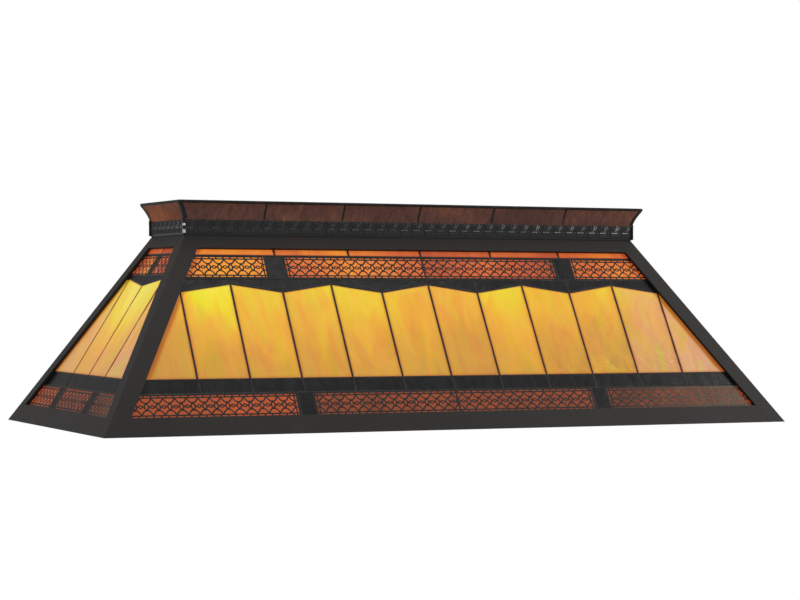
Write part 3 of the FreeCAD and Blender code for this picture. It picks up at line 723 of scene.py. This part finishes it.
def pane_looks(side, kind, index, outline, seed):
    """One pane's relief, tint, contrast and share of pearly sheen: partly the glass's own colour, partly a
    painted reflection.
    """
    ripple, shade = np.random.default_rng(seed).uniform(-1.0, 1.0, 2)
    middle, height = np.mean(outline, 0)
    middle = middle / (side.half - PANE_END)
    # The pearl share is partly the glass's own pearly colour and partly a painted sheen, growing towards the
    # right end of a long side and towards the ends of a short one.
    pearl = np.clip(1.8 * (middle - 0.6), 0.1, 0.72) if side.long else 0.15 + 0.4 * abs(middle)
    relief = 0.8 + 0.5 * ripple
    if kind == "orange_glass":
        levels = UPPER_TINTS if height > MID_SLOPE else LOWER_TINTS
        tint = 0.02 * shade - MEAN_STREAK * ORANGE_STREAK + np.interp(middle, ORANGE_MARKS, levels)
        return 0.5, tint, 1.0 if side.long else 0.45, pearl
    tint = PANE_TINTS[index % len(PANE_TINTS)] - MEAN_STREAK * AMBER_STREAK
    amber = kind == "amber_glass"
    if amber and middle > 0.3:
        relief += 0.9
    return relief, tint, HOT_CONTRAST if amber and index == HOT_PANE else 1.0, pearl


def make_panels():
    """The panes, one piece for each side and kind, and the solder between them."""
    for number, side in enumerate(SIDES):
        cells = []
        for order, (kind, material) in enumerate(PANES[side.long].items()):
            node = kind + "_" + side.name
            maker = Maker()
            found = outlines(node, side)
            for index, outline in enumerate(found):
                seed = 1000 * number + 100 * order + index
                add_pane(maker, side, outline, seed, *pane_looks(side, kind, index, outline, seed))
            maker.piece(node + "_panes", material, kind, node)
            cells += found
        maker = Maker()
        for index, (start, end) in enumerate(seams(cells)):
            add_bead(maker, side, start, end, index)
        maker.piece("solder_" + side.name, SOLDER, "patinated_solder", "lead_came_" + side.name, sharp=60.0)


# ---- filigree strips ----

def inside_runs(path, borders):
    """The runs of a path that lie to the left of every border."""
    runs = []
    for start, end in zip(path, path[1:]):
        low, high = 0.0, 1.0
        for (x0, y0), (x1, y1) in borders:
            here = (y0 - y1) * (start[0] - x0) + (x1 - x0) * (start[1] - y0)
            there = (y0 - y1) * (end[0] - x0) + (x1 - x0) * (end[1] - y0)
            if here < 0 and there < 0:
                high = -1.0
            elif here < 0:
                low = max(low, here / (here - there))
            elif there < 0:
                high = min(high, here / (here - there))
        if high - low > TINY:
            p, q = [tuple(start[i] + t * (end[i] - start[i]) for i in (0, 1)) for t in (low, high)]
            if runs and math.dist(runs[-1][-1], p) < 0.1 * TINY:
                runs[-1].append(q)
            else:
                runs.append([p, q])
    return runs


def add_strand(maker, side, path, width, borders, drop=0.0):
    """A stamped strand: flat on top with sloping flanks, cut off at the borders."""
    top = FILIGREE_TOP - drop
    section = np.array([(-width / 2, FILIGREE_FOOT), (-width * FLAT_SHARE, top),
                        (width * FLAT_SHARE, top), (width / 2, FILIGREE_FOOT)])
    for run in inside_runs(path, borders):
        points, faces = sweep(run, section)
        # Painted reflection: a share that rises towards the right end, on the lower strip only.
        bloom = np.clip(2.4 * points[:, 0] / side.half - 1.1, 0.0, 1.0) * (points[:, 1] < MID_SLOPE)
        maker.add(side.world(points), faces, bloom=bloom)


def curve(count, function):
    return [function(t) for t in np.linspace(0.0, 1.0, count)]


def lobes(a, s, pitch):
    """Strand paths of the cell at (a, s): two facing half rounds, a lens between them and links."""
    rise, side = BORDER_LINE - LOBE_TIP, a + pitch / 2
    paths = []
    for turn in (1, -1):
        paths.append(curve(17, lambda t: (a + pitch / 2 * (2 * t - 1),
                                          s + turn * (LOBE_TIP + rise * abs(2 * t - 1) ** 2.4))))
        paths.append(curve(9, lambda t: (a + turn * WAIST * (1 - abs(2 * t - 1) ** 1.6),
                                         s + LOBE_TIP * (2 * t - 1))))
        paths.append([(side + turn * EYE_HALF[0], s), (side + turn * (pitch / 2 - WAIST), s)])
    return paths


def eyes(a, s, pitch):
    """The halves of the flat ring between two cells."""
    return [curve(11, lambda t: (a + pitch / 2 + EYE_HALF[0] * (2 * t - 1),
                                 s + turn * EYE_HALF[1] * max(math.sin(math.pi * t), 0.0) ** 0.6))
            for turn in (1, -1)]


def leans(outline, middle, end):
    """Whether the pane's edge slants at one end of a strip."""
    reach = 12 * MM
    return abs(row_ends(outline, middle + reach)[end] - row_ends(outline, middle - reach)[end]) > 1 * MM


def add_filigree(maker, side, group, middle):
    """One strip of filigree over a group of panes."""
    low, high = span(sum(group, []), 0)
    inset = EDGE_LINE - BORDER_LINE
    # Where the lobes start and stop; None where a slanting edge cuts them off.
    start = None if leans(group[0], middle, 0) else low + inset + STRIP_GAP
    stop = None if leans(group[-1], middle, 1) else high - inset - STRIP_GAP
    left, right = low - BEYOND if start is None else start, high + BEYOND if stop is None else stop
    if start is None or stop is None:
        count = int((min(right, high) - max(left, low)) / CELL) + 2
        pitch, first = CELL, stop - count * CELL if start is None else start
    else:
        count = max(1, round((stop - start) / CELL))
        pitch, first = (stop - start) / count, start
    window = [(left, middle - BORDER_LINE), (right, middle - BORDER_LINE),
              (right, middle + BORDER_LINE), (left, middle + BORDER_LINE)]
    for outline in group:
        outer = list(edges(outline))
        inner = outer + list(edges(window))
        for i in range(count + 1):
            for path in lobes(first + i * pitch, middle, pitch):
                add_strand(maker, side, path, STRAND, inner, LOBE_DROP)
            for path in eyes(first + i * pitch, middle, pitch):
                add_strand(maker, side, path, EYE_STRAND, inner, EYE_DROP)
        for turn in (1, -1):
            for height, width in ((BORDER_LINE, STRAND), (EDGE_LINE, EDGE_STRAND)):
                s = middle + turn * height
                add_strand(maker, side, [(low - BEYOND, s), (high + BEYOND, s)], width, outer)
            reach = int((high - low) / DASH) + 2
            for i in range(-reach, reach + 1):
                a = (stop if start is None else start) + (i + 0.5) * DASH
                path = [(a, middle + turn * BORDER_LINE), (a, middle + turn * EDGE_LINE)]
                add_strand(maker, side, path, DASH_BAR, outer, BAR_DROP)
        for outward, end in ((-1, start), (1, stop)):
            if end is None:
                continue
            for offset, width in ((0.0, STRAND), (inset, EDGE_STRAND)):
                a = end + outward * offset
                add_strand(maker, side, [(a, middle - EDGE_LINE), (a, middle + EDGE_LINE)], width, outer)
            for i in (-1.5, -0.5, 0.5, 1.5):
                s = middle + i * DASH * END_DASH
                add_strand(maker, side, [(end, s), (end + outward * inset, s)], STRAND, outer, BAR_DROP)


def make_filigree():
    """Both rows of filigree, each one piece."""
    rows = {name: Maker() for name in STRIP_DROP}
    for side in SIDES:
        strips = {name: [] for name in STRIP_DROP}
        for outline in outlines("orange_glass_" + side.name, side):
            bottom, top = span(outline, 1)
            if top < MID_SLOPE:
                strips["lower_filigree"].append(outline)
            elif top - bottom > STRIP_PANE:
                strips["upper_filigree"].append(outline)
        for name, found in strips.items():
            found.sort(key=lambda outline: span(outline, 0)[0])
            middle = span(found[0], 1)[1] - STRIP_DROP[name]
            groups = []
            for outline in found:
                if groups and span(outline, 0)[0] - span(groups[-1][-1], 0)[1] < GROUP_GAP:
                    groups[-1].append(outline)
                else:
                    groups.append([outline])
            for group in groups:
                add_filigree(rows[name], side, group, middle)
    for name, maker in rows.items():
        maker.piece(name + "_strands", FILIGREE, "filigree_metal", name, sharp=20.0)


# ---- gallery band ----

def ridge(distance, width):
    """Height of a rounded ridge at a distance from its middle line."""
    return np.exp(-(distance / width) ** 2)


def stroke(u, v, start, end, width):
    """A rounded ridge along a straight stroke, repeated with the motif."""
    run = np.subtract(end, start)
    best = np.zeros(np.broadcast(u, v).shape)
    for turn in (-DRAWN_WIDE, 0.0, DRAWN_WIDE):
        x, y = u - start[0] - turn, v - start[1]
        t = np.clip((x * run[0] + y * run[1]) / (run @ run), 0.0, 1.0)
        best = np.maximum(best, ridge(np.hypot(x - t * run[0], y - t * run[1]), width))
    return best


def band_top(u):
    """Height of the band's cut-out upper edge at u along a motif, both as drawn."""
    middle = DRAWN_WIDE / 2
    wave = 0.5 + 0.5 * np.cos(2 * np.pi * (u - middle) / DRAWN_WIDE)
    tips = np.abs(np.cos(np.pi * (u - middle) / TIP_SPACING))
    return 23.4 + 1.2 * wave + 1.8 * tips


# Strokes of one motif: their (u, v) ends, width and height. A twisted fan under a bar, then a leaf above it.
FAN = [((2.6 + 4.1 * k, 11.4), (6.0 + 4.1 * k, 4.4), 0.9, 0.78) for k in range(5)]
FAN += [((3.4, 12.0), (14.6, 12.0), 1.15, 1.0), ((18.6, 11.8), (21.5, 11.8), 0.8, 0.8)]
LEAF = [((3.5, 14.9), (19.0, 14.9), 0.7, 0.78), ((11.6, 16.0), (11.6, 24.6), 0.9, 0.7)]
LEAF += [((11.6 + lean * a, b), (11.6 + lean * c, d), width, height)
         for lean, width, height in ((-1, 0.8, 0.72), (1, 1.1, 1.0))
         for a, b, c, d in ((0.4, 15.6, 4.0, 19.8), (0.6, 19.2, 3.4, 23.4), (4.8, 17.5, 7.2, 22.5))]
LEAF += [((lean * 0.4, 16.2), (lean * 2.6, 19.8), 0.9, 0.75) for lean in (-1, 1)]
LEAF += [((0.0, 19.6), (0.0, 23.6), 0.9, 0.7)]


def band_relief(u, v):
    """Relief of the stamped band: 1 on its high spots, 0 in its hollows."""
    relief = 0.5 * ridge(v - 1.4, 0.9)
    for start, end, width, height in FAN + LEAF:
        relief = np.maximum(relief, height * stroke(u, v, start, end, width))
    return relief


def make_band():
    """The embossed strips of the band and the solder at their corners."""
    for side in SIDES:
        node = "gallery_band_" + side.name
        low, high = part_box(node)
        half = max(abs(np.array(low) @ side.along), abs(np.array(high) @ side.along))
        reach = max(np.array(low) @ side.out, np.array(high) @ side.out)
        height = high.z - low.z
        motifs = max(2, round(2 * half / MOTIF))
        across = np.linspace(-half, half, motifs * BAND_COLUMNS + 1)
        u = (across + half) / (2 * half) * motifs * DRAWN_WIDE % DRAWN_WIDE
        share = np.linspace(0.0, 1.0, BAND_ROWS)
        v = share[:, None] * (band_top(u) / DRAWN_TALL * height)[None, :]
        relief = band_relief(np.broadcast_to(u, v.shape), v / MM)
        flared = reach - BAND_FLARE + BAND_FLARE * v / height
        stretch = (half - BAND_FLARE + BAND_FLARE * v / height) / half
        layers = [(depth[..., None] * side.out + (across[None, :] * stretch)[..., None] * side.along
                   + (low.z + v)[..., None] * UP).reshape(-1, 3)
                  for depth in (flared - BAND_RELIEF * (1.0 - relief), flared - BAND_BACK)]
        crest = relief * (0.87 + 0.17 * across / half)[None, :]    # painted glints, stronger towards the right
        maker = Maker()
        maker.add(np.concatenate(layers), slab_faces(len(share), len(across)),
                  crest=np.tile(crest.ravel(), 2))
        maker.piece("gallery_" + side.name, BAND, "band_metal", node, sharp=70.0)
    bands = ["gallery_band_" + side.name for side in SIDES]
    reach = np.array([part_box("gallery_band_front")[1].x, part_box("gallery_band_back")[1].y]) - 0.5 * MM
    # The front-left corner gets the painted glint; the other corners get the plain solder.
    bright, dull = Maker(), Maker()
    for number, corner in enumerate(CORNERS):
        add_lumps(bright if number == 0 else dull, corner * reach, low.z + 2.0 * MM, high.z - 1.0 * MM,
                  40 + number)
    bright.piece("gallery_corner_solder", PAINTED_GLINT_SOLDER, "patinated_solder", *bands)
    dull.piece("gallery_corner_patina", SOLDER, "patinated_solder", *bands)


def add_lumps(maker, axis, bottom, top, seed):
    """An upright run of dabbed solder, which swells, narrows and wanders."""
    rings, around = 36, 12
    heights = np.linspace(bottom, top, rings)
    turns = np.linspace(0.0, 2 * np.pi, around, endpoint=False)
    travel = (heights - bottom) / (3.6 * MM)
    size = (1.9 + 1.5 * noise(travel, np.full(rings, 0.5), seed)) * MM
    size[[0, -1]] = 0.4 * MM
    wander = np.stack([noise(travel / 2, np.full(rings, k), seed + 9) for k in (1.5, 4.5)], 1) * 0.4 * MM
    circle = np.stack([np.cos(turns), np.sin(turns)], 1)
    flat = axis + wander[:, None, :] + size[:, None, None] * circle[None, :, :]
    tall = np.broadcast_to(heights[:, None, None], (rings, around, 1))
    maker.add(np.concatenate([flat, tall], 2).reshape(-1, 3), tube_faces(rings, around))


# ---- crown glass ----

def crown_profile():
    """Heights up the crown, and how far out its long and short faces' ends are at each."""
    outer = []
    for axis, node in ((0, "crown_glass_right"), (1, "crown_glass_back")):
        points = vertices(node)[:, (axis, 2)]
        lowest = points[points[:, 1] < points[:, 1].min() + TOUCH]
        foot, rim = lowest[lowest[:, 0].argmax()], points[points[:, 0].argmax()]
        chord = rim - foot
        t = np.linspace(0.0, 1.0, 13)[:, None]
        hollow = np.array([-chord[1], chord[0]]) / np.linalg.norm(chord)
        outer.append(foot + t * chord + COVE * np.sin(np.pi * t) * hollow)
    return outer[0][:, 1], np.stack([profile[:, 0] for profile in outer], 1)


def make_crown():
    """The crown's panes, carried down behind the band's cut-out upper edge, and its leads."""
    for side in SIDES:
        node = "crown_glass_" + side.name
        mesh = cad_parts[node].data.copy()
        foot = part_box(node)[0].z + CROWN_FOOT
        with editing(mesh, WELD_CAD) as edit:
            feet = [face for face in edit.faces if all(v.co.z < foot for v in face.verts)]
            tucked = bmesh.ops.extrude_face_region(edit, geom=feet)["geom"]
            bmesh.ops.delete(edit, geom=feet, context="FACES_ONLY")
            shift = Vector(side.out) * -TUCK_IN - Vector(UP) * TUCK_DOWN
            moved = [v for v in tucked if isinstance(v, bmesh.types.BMVert)]
            bmesh.ops.translate(edit, vec=shift, verts=moved)
        place("crown_panes_" + side.name, mesh, CROWN if side.long else CROWN_END, "crown_glass", node)
    lead = Maker()
    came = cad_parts["crown_came"].data
    lead.add(vertices("crown_came"), [list(face.vertices) for face in came.polygons])
    levels, outer = crown_profile()
    (wide, deep), thick = CORNER_LEAD, LEAD_THICK
    angle = np.array([(-wide, 0), (-wide, thick), (0, thick), (thick, thick), (thick, 0), (thick, -deep),
                      (0, -deep), (-0.2 * MM, -0.2 * MM)])
    for corner in CORNERS:
        flat = (outer[:, None, :] + angle[None, :, :]) * corner
        tall = np.broadcast_to(levels[:, None, None], flat.shape[:2] + (1,))
        lead.add(np.concatenate([flat, tall], 2).reshape(-1, 3), tube_faces(len(levels), len(angle)))
    lead.piece("crown_leads", SOLDER, "patinated_solder", "crown_came", sharp=50.0)


# ---- steel frame ----

def softened(node, width):
    """A folded-steel node with its sharp edges rounded."""
    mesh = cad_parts[node].data.copy()
    with editing(mesh, WELD_CAD) as edit:
        bmesh.ops.dissolve_limit(edit, angle_limit=math.radians(1.0), verts=edit.verts, edges=edit.edges)
        sharp = [e for e in edit.edges if e.is_manifold and e.calc_face_angle() > math.radians(30)]
        bmesh.ops.bevel(edit, geom=sharp, offset=width, segments=2, profile=0.5, affect="EDGES",
                        clamp_overlap=True)
    place(node + "_folded", mesh, PAINT, "frame_black", node, sharp=14.0)


def make_frame():
    for side in SIDES:
        softened("bottom_rail_" + side.name, RAIL_ROUND)
        softened("top_rail_" + side.name, RAIL_ROUND)
    for corner in ("front_left", "front_right", "back_left", "back_right"):
        softened("corner_angle_" + corner, ANGLE_ROUND)


make_panels()
make_filigree()
make_band()
make_crown()
make_frame()
dress(PAINT, "top_plate")
dress(moulded("inside_enamel", (196, 190, 178), (226, 222, 212), (0.3, 0.5), 25.0), "wiring_channel")
dress(bare_metal("zinc_steel", (170, 172, 174), (112, 112, 110), (0.28, 0.5), 120.0),
      "glass_clips", "plate_screws")
dress(bare_metal("aged_brass", (176, 134, 66), (96, 70, 38), (0.25, 0.5), 90.0),
      "plate_bushings", "hanging_loop_left", "hanging_loop_right", "loop_nut_left", "loop_nut_right")
dress(moulded("wire_plastic", (26, 26, 27), (44, 44, 45), (0.35, 0.5), 90.0), "wire_harness")
dress(moulded("socket_plastic", (34, 32, 30), (54, 50, 46), (0.3, 0.5), 70.0), "lampholders")
dress(bulb_envelope(), *["bulb_glass_" + number for number in BULB_NUMBERS])
dress(bare_metal("cap_metal", (186, 188, 190), (120, 118, 112), (0.2, 0.42), 150.0),
      *["bulb_cap_" + number for number in BULB_NUMBERS])


# ---- floor, light and camera ----

FLOOR_Z = -0.9  # the lamp hangs well clear of the floor
FLOOR_RADIUS = 3.0
SURROUND = 0.42  # how strongly the white surround lights the lamp, against 1 as seen
# Softboxes: name, size, energy, place, and the point that they face.
SOFTBOXES = (("softbox_right", 1.5, 55.0, (3.3, -1.7, 2.2), (0.1, 0.0, 0.2)),
             ("softbox_above", 4.2, 125.0, (0.0, 0.4, 3.6), (0.0, 0.0, 0.0)))
LENS = 103.78  # mm on a sensor SENSOR mm wide
SENSOR = 36.0
CAMERA_AT = (-1.6415, -3.6244, 0.2193)
CAMERA_AZIMUTH = 24.45  # degrees from +Y towards +X
CAMERA_PITCH = -0.16
CAMERA_ROLL = 0.14


def make_floor():
    """A pale round floor, which is clear when it is seen from below."""
    mesh = bpy.data.meshes.new("floor")
    with editing(mesh, WELD_CAD) as edit:
        bmesh.ops.create_circle(edit, cap_ends=True, radius=FLOOR_RADIUS, segments=96)
    pale = Finish("floor_pale", 0.1, Roughness=0.9)
    patches = pale.noise(pale.coordinates(), 3.0)
    pale.use(Base_Color=pale.ramp(patches, (0.3, 236.15, 236.15, 234.93), (0.7, 241.08, 241.08, 239.89)))
    below = pale.node("NewGeometry").outputs["Backfacing"]
    clear = pale.node("BsdfTransparent").outputs["BSDF"]
    both = pale.node("MixShader", {0: below, 1: pale.shader.outputs["BSDF"], 2: clear})
    pale.tree.links.new(both.outputs["Shader"], pale.tree.nodes["Material Output"].inputs["Surface"])
    mesh.materials.append(pale.material)
    floor = link("floor", mesh)
    floor.location.z = FLOOR_Z


def make_light():
    """A white surround that lights gently, and the softboxes."""
    world = bpy.data.worlds.new("studio")
    world.use_nodes = True
    tree = world.node_tree
    seen = tree.nodes.new("ShaderNodeLightPath").outputs["Is Camera Ray"]
    strength = tree.nodes.new("ShaderNodeMapRange")
    strength.inputs["To Min"].default_value = SURROUND
    strength.inputs["To Max"].default_value = 1.0
    tree.links.new(seen, strength.inputs["Value"])
    surround = tree.nodes["Background"]
    surround.inputs["Color"].default_value = srgb(255, 255, 255)
    tree.links.new(strength.outputs["Result"], surround.inputs["Strength"])
    bpy.context.scene.world = world
    for name, size, energy, at, aim in SOFTBOXES:
        light = bpy.data.lights.new(name, "AREA")
        light.size = size
        light.energy = energy
        lamp = link(name, light)
        lamp.location = at
        lamp.rotation_euler = (Vector(aim) - lamp.location).to_track_quat("-Z", "Y").to_euler()


def make_camera():
    """The photograph's camera, as fitted to the shade's corners."""
    view = bpy.data.cameras.new("camera")
    view.lens = LENS
    view.sensor_width = SENSOR
    camera = link("camera", view)
    turn, tilt, roll = [Matrix.Rotation(math.radians(angle), 4, axis) for angle, axis in
                        ((-CAMERA_AZIMUTH, "Z"), (90.0 + CAMERA_PITCH, "X"), (CAMERA_ROLL, "Z"))]
    camera.matrix_world = Matrix.Translation(CAMERA_AT) @ turn @ tilt @ roll
    bpy.context.scene.camera = camera


make_floor()
make_light()
make_camera()
bpy.context.scene.view_settings.view_transform = "Standard"
